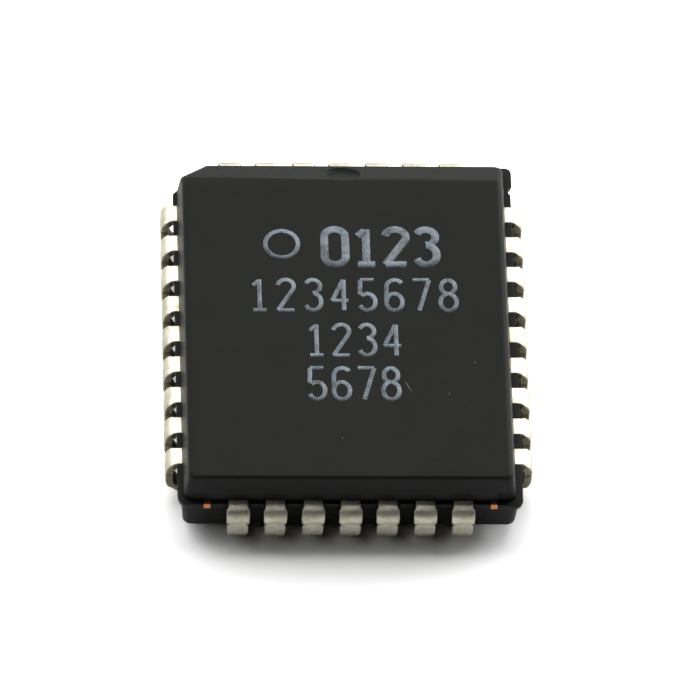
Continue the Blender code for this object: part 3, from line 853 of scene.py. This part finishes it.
def markLines(size):
    bm = bmesh.new()
    weight = bm.verts.layers.float.new("strokeScale")
    top = bodySizes["top"]

    def addStroke(points, scale, lift):
        verts = [bm.verts.new((x, y, top + lift)) for x, y in points]
        for vert in verts:
            vert[weight] = scale
        for a, b in zip(verts, verts[1:]):
            bm.edges.new((a, b))

    for text, middleX, middleY, halfWide, halfHigh, stroke, step in size["rows"]:
        for i, digit in enumerate(text):
            x = middleX + (i - (len(text) - 1) / 2) * step
            for k, shape in enumerate(digitStrokes(digit)):
                points = [(x + px * halfWide, middleY + py * halfHigh / 2.3) for px, py in shape]
                addStroke(points, stroke / size["stroke"], 0.001 * mm * k)
    x, y, radius = size["ring"]
    addStroke(arcPoints(x, y, radius, 90, 450, 48), 1.0, 0.0)
    return meshObject("marking", bm)


def inkTree():
    inputs = (
        ("Material", "Material", None),
        ("Stroke", "Float", 0.0),
        ("Ink Depth", "Float", 0.0),
        ("Corner Round", "Float", 0.0),
    )
    tree, given, result, sockets = newTree("inkStrokes", inputs)
    link = tree.links.new
    lines = addNode(tree, "GeometryNodeMeshToCurve")
    link(given.outputs["Geometry"], lines.inputs["Mesh"])
    rounded = addNode(tree, "GeometryNodeFilletCurve", mode="POLY")
    link(lines.outputs["Curve"], rounded.inputs["Curve"])
    rounded.inputs["Count"].default_value = 3
    rounded.inputs["Limit Radius"].default_value = True
    link(given.outputs["Corner Round"], rounded.inputs["Radius"])
    level = addNode(tree, "GeometryNodeSetCurveNormal", mode="Z_UP")
    link(rounded.outputs["Curve"], level.inputs["Curve"])
    swell = addNode(tree, "GeometryNodeSetCurveRadius")
    link(level.outputs["Curve"], swell.inputs["Curve"])
    named = addNode(tree, "GeometryNodeInputNamedAttribute", data_type="FLOAT")
    named.inputs["Name"].default_value = "strokeScale"
    link(named.outputs["Attribute"], swell.inputs["Radius"])
    section = addNode(tree, "GeometryNodeCurvePrimitiveQuadrilateral")
    link(given.outputs["Stroke"], section.inputs["Width"])
    link(given.outputs["Ink Depth"], section.inputs["Height"])
    sweep = addNode(tree, "GeometryNodeCurveToMesh")
    link(swell.outputs["Curve"], sweep.inputs["Curve"])
    link(section.outputs["Curve"], sweep.inputs["Profile Curve"])
    sweep.inputs["Fill Caps"].default_value = True
    link(addNode(tree, "GeometryNodeInputRadius").outputs[0], sweep.inputs["Scale"])
    real = addNode(tree, "GeometryNodeRealizeInstances")
    link(sweep.outputs["Mesh"], real.inputs["Geometry"])
    paint = addNode(tree, "GeometryNodeSetMaterial")
    link(real.outputs["Geometry"], paint.inputs["Geometry"])
    link(given.outputs["Material"], paint.inputs["Material"])
    link(paint.outputs["Geometry"], result.inputs["Geometry"])
    return tree, sockets


inkTones = {"thin": (0.035, 0.04, 0.042), "full": (0.2, 0.235, 0.27)}


def stampInk(tones):
    made, tree, shader = newMaterial("stampInk")
    where = addNode(tree, "ShaderNodeTexCoord").outputs["Object"]
    grain = grainNoise(tree, where, 0.045 * mm, 3.0, 0.7)
    patch = grainNoise(tree, where, 0.4 * mm, 2.0, 0.5)
    cover = spread(tree, maths(tree, "ADD", grain, maths(tree, "MULTIPLY", patch, 0.5)), 0.55, 0.85)
    shade = blendColours(tree, cover, tones["thin"], tones["full"])
    feed(tree, shader.inputs["Base Color"], shade)
    shader.inputs["Roughness"].default_value = 0.6
    shader.inputs["Specular IOR Level"].default_value = 0.3
    addBump(tree, shader, grain, 0.003 * mm, 0.5)
    return made


def makeMarking(size):
    marking = markLines(size)
    tree, sockets = inkTree()
    values = {
        "Material": stampInk(inkTones),
        "Stroke": size["stroke"],
        "Ink Depth": size["inkDepth"],
        "Corner Round": size["cornerRound"],
    }
    return runTree(marking, tree, sockets, values)


marking = makeMarking(markSizes)
print("marking", len(marking.data.polygons), "faces")


flawPlaces = {  # x, y, width, length, turn in degrees, on the top face
    "scratch": (2.0 * mm, -3.1 * mm, 0.022 * mm, 0.27 * mm, 25),
    "fleckRight": (3.38 * mm, -3.39 * mm, 0.03 * mm, 0.03 * mm, 0),
    "fleckFar": (4.3 * mm, -2.1 * mm, 0.028 * mm, 0.035 * mm, 30),
    "fleckNear": (-0.3 * mm, -5.25 * mm, 0.025 * mm, 0.03 * mm, 0),
}


mouldTones = {
    "dark": (0.0088, 0.0100, 0.0084),
    "light": (0.0108, 0.0121, 0.0103),
    "filler": (0.045, 0.047, 0.042),
    "flaw": (0.11, 0.11, 0.1),
    "wallRough": 0.38,  # both fitted to the tones of the walls and the top in the photograph
    "topRough": 0.56,
    "grainRough": 0.1,
}


def mouldCompound(tones):
    made, tree, shader = newMaterial("mouldCompound")
    where = addNode(tree, "ShaderNodeTexCoord").outputs["Object"]
    grain = grainNoise(tree, where, 0.05 * mm, 3.0, 0.65)
    filler = grainNoise(tree, where, 0.022 * mm, 2.0, 0.6)
    cloud = grainNoise(tree, where, 2.2 * mm, 3.0, 0.5)
    base = blendColours(tree, spread(tree, cloud, 0.3, 0.7), tones["dark"], tones["light"])
    speckled = blendColours(tree, spread(tree, filler, 0.62, 0.8, 0.0, 0.5), base, tones["filler"])
    flaws = None
    for x, y, wide, long, turn in flawPlaces.values():
        place = addNode(tree, "ShaderNodeMapping", vector_type="TEXTURE")
        feed(tree, place.inputs["Vector"], where)
        place.inputs["Location"].default_value = (x, y, bodySizes["top"])
        place.inputs["Rotation"].default_value = (0, 0, math.radians(turn))
        place.inputs["Scale"].default_value = (wide, long, 0.03 * mm)
        away = vectorMaths(tree, "LENGTH", place.outputs[0])
        mask = spread(tree, away, 1.2, 0.6)
        flaws = mask if flaws is None else maths(tree, "MAXIMUM", flaws, mask)
    marked = blendColours(tree, maths(tree, "MULTIPLY", flaws, 0.8), speckled, tones["flaw"])
    feed(tree, shader.inputs["Base Color"], marked)
    facing = addNode(tree, "ShaderNodeSeparateXYZ")
    feed(tree, facing.inputs[0], addNode(tree, "ShaderNodeTexCoord").outputs["Normal"])
    rough = spread(tree, facing.outputs["Z"], 0.35, 0.75, tones["wallRough"], tones["topRough"])
    grainRough = spread(tree, grain, 0.3, 0.7, 0.0, tones["grainRough"])
    feed(tree, shader.inputs["Roughness"], maths(tree, "ADD", rough, grainRough))
    shader.inputs["Specular IOR Level"].default_value = 0.11
    height = maths(tree, "ADD", grain, maths(tree, "MULTIPLY", filler, 0.4))
    addBump(tree, shader, height, 0.006 * mm, 0.7)
    return made


def sawnCopper():
    made, tree, shader = newMaterial("sawnCopper")
    where = addNode(tree, "ShaderNodeTexCoord").outputs["Object"]
    smear = grainNoise(tree, where, 0.07 * mm, 4.0, 0.65)
    shade = blendColours(tree, spread(tree, smear, 0.35, 0.65), (0.86, 0.36, 0.17), (0.4, 0.15, 0.07))
    feed(tree, shader.inputs["Base Color"], shade)
    shader.inputs["Metallic"].default_value = 1.0
    feed(tree, shader.inputs["Roughness"], spread(tree, smear, 0.3, 0.7, 0.35, 0.55))
    addBump(tree, shader, smear, 0.008 * mm, 0.6)
    return made


def silverAdhesive():
    made, tree, shader = newMaterial("silverAdhesive")
    where = addNode(tree, "ShaderNodeTexCoord").outputs["Object"]
    flake = addNode(tree, "ShaderNodeTexVoronoi")
    feed(tree, flake.inputs["Vector"], where)
    flake.inputs["Scale"].default_value = 1 / (0.02 * mm)
    shade = blendColours(tree, flake.outputs["Distance"], (0.58, 0.57, 0.53), (0.36, 0.35, 0.33))
    feed(tree, shader.inputs["Base Color"], shade)
    shader.inputs["Metallic"].default_value = 0.6
    shader.inputs["Roughness"].default_value = 0.48
    return made


def etchedSilicon():
    made, tree, shader = newMaterial("etchedSilicon")
    where = addNode(tree, "ShaderNodeTexCoord").outputs["Object"]
    rows = addNode(tree, "ShaderNodeTexBrick")
    feed(tree, rows.inputs["Vector"], where)
    rows.inputs["Scale"].default_value = 1 / (0.6 * mm)
    rows.inputs["Color1"].default_value = (0.2, 0.22, 0.27, 1)
    rows.inputs["Color2"].default_value = (0.24, 0.2, 0.26, 1)
    rows.inputs["Mortar"].default_value = (0.36, 0.35, 0.3, 1)
    feed(tree, shader.inputs["Base Color"], rows.outputs["Color"])
    shader.inputs["Metallic"].default_value = 0.5
    sheen = grainNoise(tree, where, 0.3 * mm)
    feed(tree, shader.inputs["Roughness"], spread(tree, sheen, 0.3, 0.7, 0.16, 0.26))
    return made


mouldedBody.data.materials.clear()
mouldedBody.data.materials.append(mouldCompound(mouldTones))
finishes = {"die_pad": sawnCopper(), "die_attach": silverAdhesive(), "silicon_die": etchedSilicon()}
for nodeName, finish in finishes.items():
    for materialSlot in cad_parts[nodeName].material_slots:
        materialSlot.material = finish
print("finishes made")


roomSizes = {
    "floorHalf": 300 * mm,
    "floorPale": 0.86,
    "floorSeen": 1.5,  # for the camera, so that the plain floor is white
    "floorMirrored": 1.0,
}


def makeFloor(size):
    bm = bmesh.new()
    half = size["floorHalf"]
    corners = ((-half, -half), (half, -half), (half, half), (-half, half))
    bm.faces.new([bm.verts.new((x, y, 0)) for x, y in corners])
    floor = meshObject("floor", bm)
    made, tree, shader = newMaterial("paleFloor")
    tree.nodes.remove(shader)
    path = addNode(tree, "ShaderNodeLightPath")
    mirrored = maths(tree, "MAXIMUM", path.outputs["Is Glossy Ray"], path.outputs["Is Transmission Ray"])
    paper = addNode(tree, "ShaderNodeBsdfDiffuse")
    pale, bright, gloss = ((size[key],) * 3 for key in ("floorPale", "floorSeen", "floorMirrored"))
    indirect = blendColours(tree, mirrored, pale, gloss)
    feed(tree, paper.inputs["Color"], blendColours(tree, path.outputs["Is Camera Ray"], indirect, bright))
    tree.links.new(paper.outputs[0], tree.nodes["Material Output"].inputs["Surface"])
    floor.data.materials.append(made)


def lightRoom():  # white for the camera only, since the lamps do the lighting
    world = bpy.data.worlds.new("studio")
    bpy.context.scene.world = world
    world.use_nodes = True
    tree = world.node_tree
    path = addNode(tree, "ShaderNodeLightPath")
    plain = blendColours(tree, path.outputs["Is Camera Ray"], (0, 0, 0), (1, 1, 1))
    feed(tree, tree.nodes["Background"].inputs["Color"], plain)


lampSizes = {  # place, width, height, watts, and each is aimed at the origin
    "overLamp": ((0, 0.14, 0.264), 0.36, 0.22, 0.9),
    "fillLamp": ((-0.13, -0.01, 0.28), 0.3, 0.2, 0.1),
    "leftLamp": ((-0.23, 0.14, 0.16), 0.22, 0.2, 0.46),
    "rightLamp": ((0.23, 0.16, 0.15), 0.22, 0.2, 0.16),
    "rightLowLamp": ((0.25, 0.2, 0.07), 0.2, 0.1, 0.95),
}


def addLamp(name, place, wide, high, watts):
    lamp = bpy.data.lights.new(name, "AREA")
    lamp.shape = "RECTANGLE"
    lamp.size = wide
    lamp.size_y = high
    lamp.energy = watts
    made = bpy.data.objects.new(name, lamp)
    made.location = place
    made.rotation_euler = (-Vector(place)).to_track_quat("-Z", "Y").to_euler()
    bpy.context.scene.collection.objects.link(made)


makeFloor(roomSizes)
lightRoom()
for lampName, lampSize in lampSizes.items():
    addLamp(lampName, *lampSize)
bpy.context.scene.view_settings.view_transform = "Standard"
print("room lit")


leadNodes = ["lead_%02d" % (i + 1) for i in range(2 * (shortRow + longRow))]
dressed = ((mouldedBody, "mould_compound", ["moulded_body"]), (leads, "plated_lead", leadNodes))
for piece, slotName, nodes in dressed:
    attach(piece, "root")
    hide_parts(*nodes)
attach(marking, "root")

print("done")
